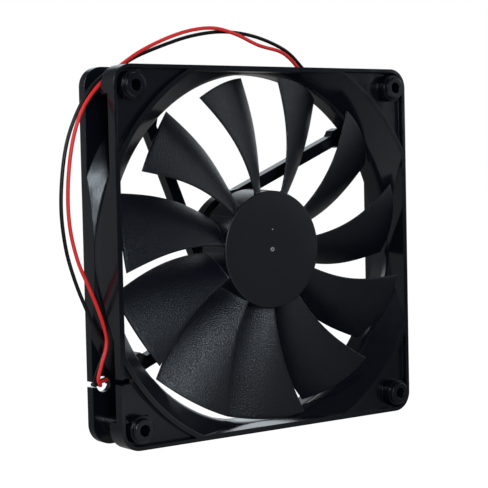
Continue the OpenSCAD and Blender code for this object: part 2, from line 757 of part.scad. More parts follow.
function sweep_at(s) = blade_sweep * (1.9 * s * s - 0.9 * s * s * s);
function blade_point(r, c, side) =
  let (
    s = max(0, (r - hub_r) / (tip_r - hub_r)),
    lead_z = rim - blade_set_back + blade_bow * 4 * s * (1 - s),
    trail_z = rim - blade_set_back - blade_depth + tip_cut * s * s,
    camber = blade_camber * (0.5 + 0.5 * s) * 4 * c * (1 - c),
    across = r * blade_angle * PI / 180,
    fall = lead_z - trail_z,
    chord = norm([across, fall]),
    thick = (blade_edge_t + (blade_t - blade_edge_t) * 4 * c * (1 - c)) * (1 - 0.25 * s),
    lift = camber + side * thick / 2,
    angle = blade_start + sweep_at(s) - blade_angle * c - (lift * fall / chord) / r * 180 / PI,
    height = lead_z - fall * c + lift * across / chord)
  [r * cos(angle), r * sin(angle), height];

chord_steps = 6;
span_steps = 9;
module blade() {
  ring_len = 2 * (chord_steps + 1);
  root_sunk = 0.9;
  root_r = hub_r - root_sunk;
  points = [for (i = [0:span_steps]) let (r = root_r + (tip_r - root_r) * i / span_steps)
    each concat(
      [for (j = [0:chord_steps]) blade_point(r, j / chord_steps, 1)],
      [for (j = [chord_steps:-1:0]) blade_point(r, j / chord_steps, -1)])];
  walls = [for (i = [0:span_steps - 1], j = [0:ring_len - 1])
    let (a = i * ring_len + j, b = i * ring_len + (j + 1) % ring_len)
    each [[a, b + ring_len, b], [a, a + ring_len, b + ring_len]]];
  last = span_steps * ring_len;
  caps = [for (j = [0:chord_steps - 1]) let (k = ring_len - 1 - j)
    each [[j, j + 1, k], [j + 1, k - 1, k], [last + j, last + k, last + j + 1], [last + j + 1, last + k, last + k - 1]]];
  polyhedron(points, concat(walls, caps), convexity = 6);
}

module impeller() {
  face_round = 0.7;
  gate_r = 1.3;
  gate_depth = 0.35;
  collar_h = 0.6;
  color([0.13, 0.13, 0.14]) placed() {
    difference() {
      rotate_extrude($fn = 180) polygon(concat(
        [[0, hub_back], [hub_r + hub_draft, hub_back]],
        [for (a = [0:30:90]) [hub_r - face_round * (1 - cos(a)), rim - face_round * (1 - sin(a))]],
        [[0, rim]]));
      translate([0, 0, hub_back - over]) cylinder(r = hub_inner_r, h = hub_len - hub_face_t + over);
      translate([0, 0, rim - gate_depth]) cylinder(r = gate_r, h = over);
    }
    translate([0, 0, yoke_top - yoke_t - collar_h])
      ring(bush_r + bush_wall, bush_r + seat, yoke_t + collar_h + seat + hub_face_t / 2);
    for (k = [0:blade_count - 1]) rotate(k * 360 / blade_count) blade();
  }
}

module rotor_yoke() {
  vent_at = 12;
  vent_r = 1.5;
  color([0.50, 0.51, 0.53]) placed() difference() {
    translate([0, 0, yoke_back]) cylinder(r = yoke_r, h = yoke_top - yoke_back);
    translate([0, 0, yoke_back - over]) cylinder(r = yoke_r - yoke_t, h = yoke_top - yoke_back - yoke_t + over);
    translate([0, 0, yoke_back]) cylinder(r = bush_r + bush_wall + seat, h = total_depth);
    for (a = [0:90:270]) rotate(a) translate([vent_at, 0, yoke_back]) cylinder(r = vent_r, h = total_depth);
  }
}

module magnet_ring() {
  color([0.20, 0.19, 0.19]) placed() translate([0, 0, magnet_back]) ring(magnet_r, magnet_in_r, magnet_len);
}

module shaft() {
  groove_r = shaft_r - groove_depth;
  bevel = 0.4;
  color([0.80, 0.81, 0.83]) placed() difference() {
    union() {
      translate([0, 0, shaft_end + bevel]) cylinder(r = shaft_r, h = yoke_top - shaft_end - bevel);
      translate([0, 0, shaft_end]) cylinder(r1 = shaft_r - bevel, r2 = shaft_r, h = bevel);
    }
    translate([0, 0, clip_top - clip_t - seat]) ring(shaft_r + over, groove_r, clip_t + 2 * seat);
  }
}

module shaft_bush() {
  color([0.80, 0.64, 0.32]) placed() translate([0, 0, bush_back])
    ring(bush_r, shaft_r + seat / 3, yoke_top - bush_back);
}

module retaining_ring() {
  color([0.70, 0.71, 0.73]) placed() translate([0, 0, clip_top - clip_t]) difference() {
    ring(shaft_r + clip_w, shaft_r - groove_depth + seat, clip_t);
    translate([0, -clip_w / 2, -over]) cube([shaft_r + clip_w + over, clip_w, clip_t + 2 * over]);
  }
}

// ---- Wires and connector ----

module sweep(route, steps) {
  sides = 8;
  reference = unit([0.6, 0.8, 0]);
  path = smooth_route(route, steps);
  count = len(path);
  rings = [for (i = [0:count - 1])
    let (
      ahead = unit(path[min(i + 1, count - 1)] - path[max(i - 1, 0)]),
      sideways = unit(cross(ahead, reference)),
      upward = cross(sideways, ahead))
    each [for (s = [0:sides - 1])
      path[i] + wire_r * (cos(360 * s / sides) * sideways + sin(360 * s / sides) * upward)]];
  walls = [for (i = [0:count - 2], s = [0:sides - 1])
    let (a = i * sides + s, b = i * sides + (s + 1) % sides)
    each [[a, b + sides, b], [a, a + sides, b + sides]]];
  caps = [[for (s = [0:sides - 1]) s], [for (s = [sides - 1:-1:0]) (count - 1) * sides + s]];
  polyhedron(rings, concat(walls, caps), convexity = 8);
}

module red_wire() { color([0.80, 0.08, 0.10]) sweep(red_route, 2); }
module black_wire() { color([0.05, 0.05, 0.05]) sweep(black_route, 2); }

module in_cavity(route) {
  last = route[len(route) - 1];
  translate([plug_face_x - wire_in, last[1], last[2]]) children();
}

module connector() {
  color([0.08, 0.08, 0.08]) difference() {
    union() {
      translate([plug_face_x - plug_len, plug_y - plug_w / 2, plug_z]) cube([plug_len, plug_w, plug_h]);
      translate([plug_face_x - plug_len + key_inset, plug_y - key_w / 2, plug_z + plug_h - eps])
        cube([key_len, key_w, key_h]);
    }
    for (route = [red_route, black_route]) in_cavity(route) {
      translate([wire_in - plug_len + end_wall, -cavity / 2, -cavity / 2]) cube([plug_len, cavity, cavity]);
      translate([wire_in - plug_len - over, -pin_hole_w / 2, -pin_hole_w / 2]) cube([plug_len, pin_hole_w, pin_hole_w]);
      translate([-window_at, -window_w / 2, cavity / 2 - eps]) cube([window_len, window_w, plug_h]);
    }
  }
}

module terminal(route) {
  box = cavity - 2 * terminal_clear;
  in_cavity(route) translate([-lead_end_gap, 0, 0]) difference() {
    union() {
      translate([-terminal_len, -box / 2, -box / 2]) cube([terminal_len - crimp_len, box, box]);
      translate([-crimp_len - eps, -box / 2, -box / 2]) cube([crimp_len + eps, box, box]);
    }
    translate([-terminal_len - over, terminal_t - box / 2, terminal_t - box / 2])
      cube([terminal_len - crimp_len, box - 2 * terminal_t, box - 2 * terminal_t]);
  }
}

module red_terminal() { color([0.82, 0.70, 0.42]) terminal(red_route); }
module black_terminal() { color([0.82, 0.70, 0.42]) terminal(black_route); }

frame();
bearing_holder();
sleeve_bearing();
thrust_plate();
bearing_cap();
oil_washer();
stator_core();
front_insulator();
back_insulator();
coil_1();
coil_2();
coil_3();
coil_4();
circuit_board();
hall_sensor();
driver_chip();
capacitor();
board_pins();
red_lead();
black_lead();
impeller();
rotor_yoke();
magnet_ring();
shaft();
shaft_bush();
retaining_ring();
red_wire();
black_wire();
connector();
red_terminal();
black_terminal();
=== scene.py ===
import math

import bmesh
import bpy
from mathutils import Matrix, Vector


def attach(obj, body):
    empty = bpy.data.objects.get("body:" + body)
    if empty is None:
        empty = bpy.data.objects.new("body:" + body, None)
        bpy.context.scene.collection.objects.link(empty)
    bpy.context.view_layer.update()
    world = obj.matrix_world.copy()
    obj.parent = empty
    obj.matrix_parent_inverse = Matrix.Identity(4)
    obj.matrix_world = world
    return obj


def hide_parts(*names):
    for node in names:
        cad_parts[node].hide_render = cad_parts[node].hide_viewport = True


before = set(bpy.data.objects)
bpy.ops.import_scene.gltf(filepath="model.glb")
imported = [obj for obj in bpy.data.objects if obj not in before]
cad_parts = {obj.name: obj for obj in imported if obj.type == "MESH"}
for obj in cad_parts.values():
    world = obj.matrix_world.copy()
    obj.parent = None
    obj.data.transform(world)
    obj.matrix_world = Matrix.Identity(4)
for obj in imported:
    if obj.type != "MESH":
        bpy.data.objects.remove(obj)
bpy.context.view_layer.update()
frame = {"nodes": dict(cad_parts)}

scene = bpy.context.scene
scene.view_settings.view_transform = "Standard"

# ---- Viewpoint ----
# The camera stands to the left of the intake side, a little above the fan's axis, and looks
# at it through a long lens.

stand = Vector((-0.35710, -0.47199, 0.10522))
rightward = Vector((0.80134577, -0.59779024, -0.02217618))
upward = Vector((0.05146045, 0.03195461, 0.99816368))
backward = Vector((-0.59598388, -0.80101544, 0.05636925))
turn = Matrix((rightward, upward, backward)).transposed()
eye = bpy.data.objects.new("viewpoint", bpy.data.cameras.new("viewpoint"))
eye.data.sensor_width = 36.0
eye.data.lens = 112.06
eye.data.clip_start = 0.01
eye.data.clip_end = 20.0
eye.matrix_world = Matrix.Translation(stand) @ turn.to_4x4()
scene.collection.objects.link(eye)
scene.camera = eye

# ---- Wires ----
# Two stranded wires in thin, glossy vinyl insulation, one red and one black. They leave the
# notch in the back flange, arch loosely over the top left corner, dip into the groove
# between the flanges and run down it, out of sight, to the connector at the base.

wire_radius = 0.0007


class Value:
    """A shader value, so that a sum of values adds the Math nodes it needs."""

    def __init__(self, shader, socket):
        self.shader = shader
        self.socket = socket

    def other(self, output):
        """Another output of the same node."""
        return Value(self.shader, self.socket.node.outputs[output])

    def __add__(self, other):
        return self.shader.work("ADD", self, other)

    __radd__ = __add__

    def __mul__(self, other):
        return self.shader.work("MULTIPLY", self, other)

    __rmul__ = __mul__

    def __sub__(self, other):
        return self.shader.work("SUBTRACT", self, other)

    def __rsub__(self, other):
        return self.shader.work("SUBTRACT", other, self)

    def __abs__(self):
        return self.shader.work("ABSOLUTE", self)

    def __gt__(self, other):
        return self.shader.work("GREATER_THAN", self, other)

    def __lt__(self, other):
        return self.shader.work("LESS_THAN", self, other)


class Shader:
    """The nodes of one material, or of the world."""

    def __init__(self, tree):
        self.tree = tree

    def add(self, kind, settings, inputs, output=0):
        """One node: its settings are made first, then its sockets get their values or links."""
        node = self.tree.nodes.new(kind)
        for setting, choice in settings.items():
            if setting == "stops":
                elements = node.color_ramp.elements
                while len(elements) < len(choice):
                    elements.new(0.5)
                for element, (position, shade) in zip(elements, choice):
                    element.position = position
                    element.color = (shade, shade, shade, 1)
            else:
                setattr(node, setting, choice)
        for socket, value in inputs.items():
            if isinstance(value, Value):
                self.tree.links.new(value.socket, node.inputs[socket])
            else:
                node.inputs[socket].default_value = value
        return Value(self, node.outputs[output])

    def work(self, operation, *terms):
        """One step of maths, on values and numbers."""
        return self.add("ShaderNodeMath", {"operation": operation}, dict(enumerate(terms)))

    def show(self, value, output):
        """What the material or the world shows in the end, at its output node."""
        self.tree.links.new(value.socket, self.tree.nodes[output].inputs["Surface"])


class Finish(Shader):
    """One material: a Principled surface and the nodes that vary it."""

    def __init__(self, name, fixed):
        self.material = bpy.data.materials.new(name)
        self.material.use_nodes = True
        super().__init__(self.material.node_tree)
        self.surface = self.tree.nodes["Principled BSDF"]
        for socket, number in fixed.items():
            self.surface.inputs[socket].default_value = number
        self.place = self.add("ShaderNodeTexCoord", {}, {}, "Object")

    def speckle(self, size, detail=2.0):
        """Soft random spots about size metres across, from 0 to 1."""
        return self.add("ShaderNodeTexNoise", {}, {"Vector": self.place, "Scale": 1 / size, "Detail": detail})

    def ramp(self, value, *stops):
        """The value read off a scale of (position, shade) stops."""
        return self.add("ShaderNodeValToRGB", {"stops": stops}, {"Fac": value})

    def blend(self, part, first, second):
        """The first colour where part is 0, and the second where it is 1."""
        # Where a Mix node's colour sockets come among those for values and vectors.
        first_input, second_input, result = 6, 7, 2
        inputs = {"Factor": part}
        for socket, shade in ((first_input, first), (second_input, second)):
            inputs[socket] = shade if isinstance(shade, Value) else (*shade, 1)
        return self.add("ShaderNodeMix", {"data_type": "RGBA"}, inputs, result)

    def feed(self, socket, value):
        self.tree.links.new(value.socket, self.surface.inputs[socket])

    def emboss(self, height, depth, strength=1.0, edge=0.0):
        """Relief of a depth; edge is the small radius that every sharp edge is moulded or worn to."""
        inputs = {"Height": height, "Distance": depth, "Strength": strength}
        if edge:
            inputs["Normal"] = self.add("ShaderNodeBevel", {"samples": 6}, {"Radius": edge})
        self.feed("Normal", self.add("ShaderNodeBump", {}, inputs))

    def coat(self, piece):
        piece.data.materials.clear()
        piece.data.materials.append(self.material)


def vinyl(name, colour, shade):
    """Glossy insulation, faintly cloudy, with a slightly uneven skin."""
    finish = Finish(name, {"IOR": 1.42})
    finish.feed("Base Color", finish.blend(finish.speckle(0.004), colour, shade))
    finish.feed("Roughness", 0.30 + 0.16 * finish.speckle(0.0012))
    finish.emboss(finish.speckle(0.0009), depth=0.00002, strength=0.5)
    return finish


red_vinyl = vinyl("red_vinyl", (0.80, 0.026, 0.024), (0.70, 0.018, 0.018))
black_vinyl = vinyl("black_vinyl", (0.0015, 0.0015, 0.002), (0.0025, 0.0025, 0.0032))

red_route = [
    (-0.0676, 0.0096, 0.0227), (-0.0678, 0.0078, 0.0227), (-0.0692, 0.0054, 0.0232), (-0.071, 0.0036, 0.0258),
    (-0.0698, 0.003, 0.031), (-0.0678, 0.003, 0.0365), (-0.0676, 0.003, 0.0415), (-0.0703, 0.0028, 0.05),
    (-0.0745, 0.0025, 0.0595), (-0.0792, 0.002, 0.0695), (-0.0824, 0.0015, 0.082), (-0.083, 0.001, 0.096),
    (-0.0812, 0.0005, 0.111), (-0.0774, 0.0002, 0.1225), (-0.0724, 0.0, 0.1298), (-0.0664, 0.0, 0.1353),
    (-0.0586, 0.0, 0.141), (-0.05, 0.0, 0.146), (-0.038, 0.0, 0.151), (-0.027, 0.0002, 0.154),
    (-0.017, 0.0002, 0.1548), (-0.007, 0.0005, 0.1528), (0.004, 0.001, 0.149), (0.0145, 0.0016, 0.147),
    (0.02, 0.002, 0.1444), (0.025, 0.0022, 0.1402), (0.03, 0.003, 0.137), (0.037, 0.0034, 0.1346),
    (0.045, 0.0034, 0.1306), (0.0537, 0.0034, 0.1237), (0.062, 0.0034, 0.112), (0.0698, 0.0034, 0.091),
    (0.0716, 0.0034, 0.072), (0.0703, 0.0034, 0.05), (0.064, 0.0034, 0.031), (0.058, 0.0034, 0.018),
    (0.055, 0.0031, 0.0062), (0.052, 0.0029, 0.0027), (0.049, 0.0029, 0.0027), (0.0465, 0.0029, 0.0027)]
black_route = [
    (-0.06915, 0.0096, 0.0227), (-0.0692, 0.0086, 0.0228), (-0.0702, 0.0074, 0.025), (-0.0692, 0.006, 0.0295),
    (-0.0674, 0.005, 0.035), (-0.068, 0.0046, 0.0395), (-0.071, 0.0042, 0.0435), (-0.0758, 0.0038, 0.053),
    (-0.08, 0.0035, 0.063), (-0.0834, 0.003, 0.074), (-0.0851, 0.0026, 0.087), (-0.0846, 0.0022, 0.1),
    (-0.0824, 0.002, 0.112), (-0.0784, 0.0018, 0.122), (-0.0726, 0.0017, 0.131), (-0.066, 0.0016, 0.1366),
    (-0.058, 0.0016, 0.1406), (-0.05, 0.0017, 0.1444), (-0.036, 0.0018, 0.1493), (-0.026, 0.0019, 0.152),
    (-0.0155, 0.0019, 0.1536), (-0.006, 0.002, 0.1536), (0.004, 0.0022, 0.1522), (0.014, 0.0028, 0.1494),
    (0.0215, 0.0034, 0.146), (0.0285, 0.004, 0.1404), (0.033, 0.0046, 0.137), (0.04, 0.005, 0.134),
    (0.048, 0.005, 0.129), (0.0554, 0.005, 0.122), (0.064, 0.005, 0.108), (0.0704, 0.005, 0.088),
    (0.0716, 0.005, 0.068), (0.07, 0.005, 0.048), (0.064, 0.005, 0.031), (0.0584, 0.0051, 0.017),
    (0.0554, 0.0053, 0.006), (0.052, 0.0055, 0.0027), (0.049, 0.0055, 0.0027), (0.0465, 0.0055, 0.0027)]


def eased(points, steps):
    """The points joined by one smooth curve, with the given number of steps between two of them."""
    points = [Vector(point) for point in points]
    last = len(points) - 1
    path = []
    for i in range(last):
        before, here, there, after = (points[min(max(k, 0), last)] for k in (i - 1, i, i + 1, i + 2))
        for step in range(steps):
            t = step / steps
            bend = (2 * before - 5 * here + 4 * there - after) * t ** 2
            twist = (3 * here - before - 3 * there + after) * t ** 3
            path.append((2 * here + (there - before) * t + bend + twist) / 2)
    return path + [points[last]]


def draw_wire(name, path, finish):
    """A round wire along a path, fixed to the housing."""
    line = bpy.data.curves.new(name, "CURVE")
    line.dimensions = "3D"
    line.bevel_depth = wire_radius
    line.bevel_resolution = 6
    line.use_fill_caps = True
    spline = line.splines.new("POLY")
    spline.points.add(len(path) - 1)
    for point, place in zip(spline.points, path):
        point.co = (*place, 1)
    spline.use_smooth = True
    wire = bpy.data.objects.new(name, line)
    scene.collection.objects.link(wire)
    finish.coat(wire)
    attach(wire, "housing")
    return wire


curve_steps = 8
red_wire = draw_wire("red_wire_insulation", eased(red_route, curve_steps), red_vinyl)
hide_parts("red_wire")
black_wire = draw_wire("black_wire_insulation", eased(black_route, curve_steps), black_vinyl)
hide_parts("black_wire")

part = frame["nodes"]

# ---- Frame ----
# One injection moulding in black, slightly glossy plastic: front and back flanges joined by
# the waisted duct and four corner pillars, with the struts and the motor's base at the back.

frame_black = (0.0026, 0.0034, 0.0060)
frame_lighter = (0.0036, 0.0046, 0.0076)
frame_edge = 0.00035

moulding = Finish("frame_plastic", {"IOR": 1.45})
moulding.feed("Base Color", moulding.blend(moulding.speckle(0.012), frame_black, frame_lighter))
moulding.feed("Roughness", 0.12 + 0.10 * moulding.speckle(0.006, detail=4.0))
skin = moulding.speckle(0.0011, detail=3.0)
sink_marks = moulding.speckle(0.009, detail=1.0)
moulding.emboss(0.3 * skin + 3.5 * sink_marks, depth=0.00003, edge=frame_edge)
moulding.coat(part["frame"])

# ---- Impeller blades ----
# Eleven swept and cambered blades, moulded in one piece with the hub in a glass-filled
# plastic whose surface is matt and faintly grainy.

axis_height = 0.07
hub_radius = 0.0226
tip_radius = 0.0663
hub_face = -0.0105
blade_count = 11

# In degrees: how far round the axis a blade reaches, where the first one starts, and how far
# its tip is swept on from its root, as the square of the span less its cube.
blade_angle = 25.3
first_blade = 108.7
tip_sweep = 10.4
sweep_square = 1.9
sweep_cube = 0.9

# How far in front of the housing's middle the leading edge lies, how far it bows forwards, how
# deep a blade is from front to back, and how much less that is at its tip.
leading_edge = 0.0097
edge_bow = 0.0009
blade_depth = 0.0126
tip_cut = 0.001

# How far the section is arched and how thick it is. The nose is the share of the chord that
# each of its two rounded edges takes up.
camber_height = 0.002
root_camber = 0.5
edge_thickness = 0.0008
middle_thickness = 0.0019
tip_thinning = 0.25
nose = 0.012

root_overlap = 0.0008
root_fillet = 0.0007
tip_rounding = 0.00025
chord_steps = 22
span_steps = 30


def arch(share):
    """From 0 at both ends of a run to 1 in its middle."""
    return 4 * share * (1 - share)


def blade_point(radius, along, lift_part, extra):
    """A point of the blade at this radius; along runs from the leading edge, 0, to the trailing edge, 1."""
    span = max(0.0, (radius - hub_radius) / (tip_radius - hub_radius))
    lead = leading_edge + edge_bow * arch(span)
    trail = leading_edge - blade_depth + tip_cut * span ** 2
    camber = camber_height * (root_camber + (1 - root_camber) * span) * arch(along)
    across = radius * math.radians(blade_angle)
    fall = lead - trail
    chord = math.hypot(across, fall)
    thickness = edge_thickness + (middle_thickness - edge_thickness) * arch(along)
    lift = camber + lift_part * (thickness * (1 - tip_thinning * span) / 2 + extra)
    sweep = tip_sweep * (sweep_square * span ** 2 - sweep_cube * span ** 3)
    angle = math.radians(first_blade + sweep - blade_angle * along) - lift * fall / chord / radius
    height = lead - fall * along + lift * across / chord
    return Vector((radius * math.cos(angle), -height, axis_height + radius * math.sin(angle)))


def section_stations():
    """How far along the chord each point lies, and its share of the thickness, round both edges."""
    edge = [(nose * (1 - math.cos(angle)), math.sin(angle)) for angle in map(math.radians, (0, 30, 60))]
    middle = [(nose + (1 - 2 * nose) * k / chord_steps, 1.0) for k in range(chord_steps + 1)]
    return edge + middle + [(1 - along, share) for along, share in reversed(edge)]


def span_stations():
    """Radii from the root out, each with what the fillet or the tip's rounding adds on either side."""
    radii = [(hub_radius - root_overlap, root_fillet), (hub_radius, root_fillet)]
    for angle in map(math.radians, (20, 40, 65, 90)):
        radii.append((hub_radius + root_fillet * (1 - math.cos(angle)), root_fillet * (1 - math.sin(angle))))
    first = hub_radius + root_fillet
    last = tip_radius - tip_rounding
    radii += [(first + (last - first) * k / span_steps, 0.0) for k in range(1, span_steps + 1)]
    for angle in map(math.radians, (30, 60, 90)):
        radii.append((last + tip_rounding * math.sin(angle), -tip_rounding * (1 - math.cos(angle))))
    return radii


def add_face(mesh, corners):
    """A face that leaves out repeated corners; nothing is added where fewer than three are left."""
    corners = list(dict.fromkeys(corners))
    if len(corners) > 2:
        mesh.faces.new(corners)


def bridge(mesh, first, second):
    """A band of faces from one ring of vertices to the next; a ring may be a single vertex."""
    around = max(len(first), len(second))
    for k in range(around):
        n = (k + 1) % around
        add_face(mesh, (first[k % len(first)], first[n % len(first)],
                        second[n % len(second)], second[k % len(second)]))


def add_blade(mesh, spin):
    """One blade, turned by spin radians round the fan's axis from the first."""
    section = section_stations()
    to_axis = Matrix.Translation((0, 0, axis_height))
    place = to_axis @ Matrix.Rotation(-spin, 4, "Y") @ to_axis.inverted()
    rings = []
    for radius, extra in span_stations():
        upper = [blade_point(radius, along, share, extra * share) for along, share in section]
        lower = [blade_point(radius, along, -share, extra * share) for along, share in section[1:-1]]
        rings.append([mesh.verts.new(place @ point) for point in upper + lower[::-1]])
    for inner, outer in zip(rings, rings[1:]):
        bridge(mesh, inner, outer)
    tip = rings[-1]
    size = len(tip)
    for k in range(size // 2):
        add_face(mesh, (tip[k], tip[k + 1], tip[size - k - 1], tip[(size - k) % size]))


def finished(name, mesh, body, smooth_below=35.0):
    """Makes a piece from worked mesh and shades it smooth except across sharp edges."""
    bmesh.ops.recalc_face_normals(mesh, faces=mesh.faces)
    data = bpy.data.meshes.new(name)
    for edge in mesh.edges:
        edge.smooth = not edge.is_manifold or edge.calc_face_angle(0.0) < math.radians(smooth_below)
    for face in mesh.faces:
        face.smooth = True
    mesh.to_mesh(data)
    mesh.free()
    piece = bpy.data.objects.new(name, data)
    scene.collection.objects.link(piece)
    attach(piece, body)
    return piece


blade_mesh = bmesh.new()
for number in range(blade_count):
    add_blade(blade_mesh, 2 * math.pi * number / blade_count)
blades = finished("impeller_blades", blade_mesh, "rotor")
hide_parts("impeller")

# Fine dimpled grain that catches the light, over cloudy gloss.
blade_black = (0.0024, 0.0034, 0.0068)
blade_lighter = (0.0036, 0.0048, 0.0090)
grain_size = 0.00038
grain_depth = 0.00010

grained = Finish("blade_plastic", {"IOR": 1.43})
grained.feed("Base Color", grained.blend(grained.speckle(0.009), blade_black, blade_lighter))
grained.feed("Roughness", 0.25 + 0.16 * grained.speckle(0.0005, detail=3.0))
dimples = grained.add("ShaderNodeTexVoronoi", {"feature": "SMOOTH_F1"},
                      {"Vector": grained.place, "Scale": 1 / grain_size, "Smoothness": 0.5}, "Distance")
grained.emboss(dimples, depth=grain_depth)
grained.coat(blades)

# ---- Impeller hub ----
# The hub is a cup with a flat face, a small rounding where the face meets the wall, and the
# ring that the moulding gate leaves in the middle of the face.

hub_back = 0.0038
hub_wall = 0.0016
hub_face_thickness = 0.0018
hub_draft = 0.0006
hub_rounding = 0.0007
outer_bevel = 0.0003
inner_bevel = 0.0002
hub_segments = 160
small_segments = 24

# Radius, and depth below the hub's face: the sunk floor of the gate, its raised lip, the face.
gate_ring = [(0, 0.0005), (0.00112, 0.0005), (0.00122, -0.0001), (0.00132, -0.00016), (0.00148, -0.00016),
             (0.00160, 0), (0.004, 0), (0.012, 0)]


def add_turned(mesh, x, z, profile, segments):
    """A profile of (radius, y) points turned round the line at x and z, with its open ends closed."""
    rings = []
    for radius, y in profile:
        around = segments if radius > 0 else 1
        angles = [2 * math.pi * k / around for k in range(around)]
        rings.append([mesh.verts.new((x + radius * math.cos(angle), y, z + radius * math.sin(angle)))
                      for angle in angles])
    for first, second in zip(rings, rings[1:]):
        bridge(mesh, first, second)
    add_face(mesh, rings[0])
    add_face(mesh, rings[-1])


hub_profile = [(radius, hub_face + depth) for radius, depth in gate_ring]
for angle in map(math.radians, range(0, 91, 15)):
    hub_profile.append((hub_radius - hub_rounding + hub_rounding * math.sin(angle),
                        hub_face + hub_rounding - hub_rounding * math.cos(angle)))
hub_inside = hub_radius - hub_wall
hub_profile += [(hub_radius + hub_draft / 2, (hub_face + hub_back) / 2),
                (hub_radius + hub_draft, hub_back - outer_bevel),
                (hub_radius + hub_draft - outer_bevel, hub_back),
                (hub_inside + inner_bevel, hub_back),
                (hub_inside, hub_back - inner_bevel),
                (hub_inside, hub_face + hub_face_thickness),
                (0, hub_face + hub_face_thickness)]
hub_mesh = bmesh.new()
add_turned(hub_mesh, 0, axis_height, hub_profile, hub_segments)
hub = finished("impeller_hub", hub_mesh, "rotor")

# The face is grained, the wall is smooth, and a hairline seam crosses the wall between blades.
hub_black = (0.0026, 0.0034, 0.0060)
hub_lighter = (0.0036, 0.0046, 0.0078)
seam_black = (0.0006, 0.0006, 0.0008)
seam_width = 0.006
seam_shift = 0.09


def measured(shader, vector, axis):
    """One coordinate, X, Y or Z, of a vector."""
    return shader.add("ShaderNodeSeparateXYZ", {}, {0: vector}, axis)


def facing_front_or_back(finish, least):
    """1 where the surface faces along the fan's axis by at least this much, and 0 elsewhere."""
    outward = finish.add("ShaderNodeTexCoord", {}, {}, "Normal")
    return abs(measured(finish, outward, "Y")) > least


hub_plastic = Finish("hub_plastic", {"IOR": 1.45})
face = facing_front_or_back(hub_plastic, least=0.6)
sideways = measured(hub_plastic, hub_plastic.place, "X")
above_axis = measured(hub_plastic, hub_plastic.place, "Z") - axis_height
round_hub = hub_plastic.work("ARCTAN2", above_axis, sideways) * (blade_count / (2 * math.pi))
sector = hub_plastic.work("FRACT", round_hub + seam_shift)
seam = (abs(sector - 0.5) < seam_width) * (1 - face)
hub_colour = hub_plastic.blend(hub_plastic.speckle(0.009), hub_black, hub_lighter)
hub_plastic.feed("Base Color", hub_plastic.blend(seam, hub_colour, seam_black))
cloudy = hub_plastic.speckle(0.0007, detail=3.0)
hub_plastic.feed("Roughness", 0.18 + 0.2 * face + 0.12 * cloudy + 0.4 * seam)
hub_plastic.emboss(0.4 * hub_plastic.speckle(0.0006) * face - seam, depth=0.00005, edge=0.0002)
hub_plastic.coat(hub)

# The torn moulding gate stands in its ring, and a smaller pip stands further up the face. The
# profiles give radius, and height above what each stands on.
gate_base = hub_face + 0.00055
gate_profile = [(0.00088, 0), (0.00088, 0.0005), (0.0008, 0.00066), (0.00068, 0.0007), (0.00056, 0.00062),
                (0.0005, 0.0004), (0.00048, 0.0001)]
pip_base = hub_face + 0.00005
pip_profile = [(0.0003, 0), (0.00028, 0.00012), (0.00015, 0.0002)]
pip_right = 0.0001
pip_up = 0.0077

stub_mesh = bmesh.new()
add_turned(stub_mesh, 0, axis_height, [(radius, gate_base - height) for radius, height in gate_profile],
           small_segments)
add_turned(stub_mesh, pip_right, axis_height + pip_up,
           [(radius, pip_base - height) for radius, height in pip_profile], small_segments)
stubs = finished("gate_stubs", stub_mesh, "rotor", smooth_below=50.0)

# Torn plastic is pale, and the hollow middle of the gate is painted black as painted shade.
painted_shade_radius = 0.00053
painted_hollow_shade = (0.004, 0.004, 0.005)
torn_grey = (0.14, 0.142, 0.146)
torn_white = (0.42, 0.425, 0.43)


def vector_work(shader, operation, first, second, output="Vector"):
    """One step of maths on vectors, whose result is a vector or, for a length, a value."""
    return shader.add("ShaderNodeVectorMath", {"operation": operation}, {0: first, 1: second}, output)


torn = Finish("torn_plastic", {"Roughness": 0.45, "IOR": 1.5})
from_middle = vector_work(torn, "DISTANCE", torn.place, (0, hub_face, axis_height), "Value")
pale = torn.blend(torn.speckle(0.0002), torn_grey, torn_white)
# Painted shade: black within a small radius of the gate's middle, down in its hollow.
torn.feed("Base Color", torn.blend(from_middle < painted_shade_radius, pale, painted_hollow_shade))
torn.emboss(torn.speckle(0.00025), depth=0.00008, strength=0.8)
torn.coat(stubs)

# ---- Bearing ----
# A brass tube pressed into the moulded base holds an oil-filled sleeve of sintered bronze. A
# felt washer keeps the oil in, and a nylon disc and a cap snapped in behind close the end.

# A Wave texture whose Scale is 1 repeats after this length.
wave_length = 0.314


def stripes(finish, pitch, waver):
    """Rings spaced pitch metres apart along the fan's axis, as turning or stacking leaves them."""
    return finish.add("ShaderNodeTexWave", {"bands_direction": "Y"},
                      {"Vector": finish.place, "Scale": wave_length / pitch, "Distortion": waver}, "Fac")


def metal(name, bright, dull, roughness, tool_pitch):
    """Bare metal with patches of tarnish and fine tool marks."""
    finish = Finish(name, {"Metallic": 1.0})
    tarnish = finish.ramp(finish.speckle(0.0025, detail=4.0), (0.35, 0), (0.7, 1))
    finish.feed("Base Color", finish.blend(tarnish, bright, dull))
    rings = stripes(finish, tool_pitch, waver=1.2)
    finish.emboss(rings, depth=0.000004, strength=0.4, edge=0.00012)
    finish.feed("Roughness", roughness - 0.05 + 0.08 * rings + 0.12 * tarnish)
    return finish


def plastic(name, colour, shade, roughness, grain):
    """Moulded plastic with cloudy colour, uneven gloss and a faint grain of the given size."""
    finish = Finish(name, {"IOR": 1.46})
    finish.feed("Base Color", finish.blend(finish.speckle(0.004, detail=3.0), colour, shade))
    finish.feed("Roughness", roughness - 0.06 + 0.12 * finish.speckle(0.0015, detail=3.0))
    finish.emboss(finish.speckle(grain), depth=0.00001, strength=0.4, edge=0.00015)
    return finish


brass = metal("brass", bright=(0.66, 0.44, 0.16), dull=(0.42, 0.27, 0.10), roughness=0.28, tool_pitch=0.00012)
brass.coat(part["bearing_holder"])

